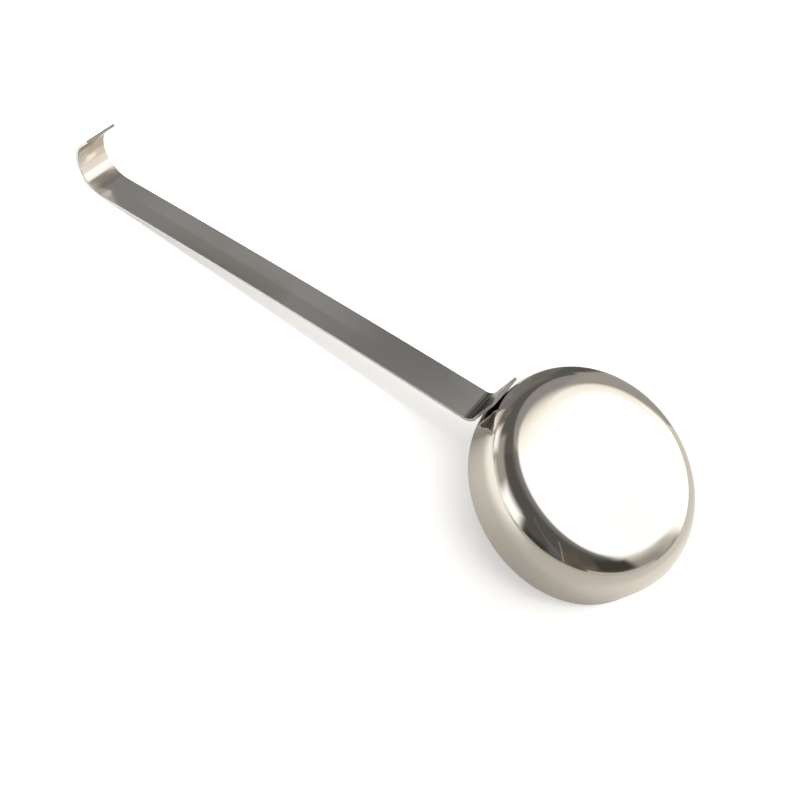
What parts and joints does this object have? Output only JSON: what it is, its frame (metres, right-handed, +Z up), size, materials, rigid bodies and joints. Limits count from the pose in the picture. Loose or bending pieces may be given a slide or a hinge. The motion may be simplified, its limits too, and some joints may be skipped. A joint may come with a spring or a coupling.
{
  "type": "portion control ladle",
  "caption": "Flat-bottomed polished steel portion ladle with a bent strip handle that ends in an open hook, lying mouth down.",
  "frame": {"origin": "on the table under the middle of the lying ladle's length and width", "axes": "+X from the bowl to the hook, +Z up from the table, the plane y = 0 halves the ladle"},
  "size_m": [0.3408, 0.103, 0.0565],
  "materials": {
    "bowl_steel": "mirror polished",
    "strip_steel": "polished, faint lengthwise grain",
    "weld_metal": "matt cast metal"
  },
  "bodies": {
    "root": {"bowl": "bowl_steel", "handle": "strip_steel", "weld_nugget_upper": "weld_metal", "weld_nugget_lower": "weld_metal"}
  },
  "joints": []
}
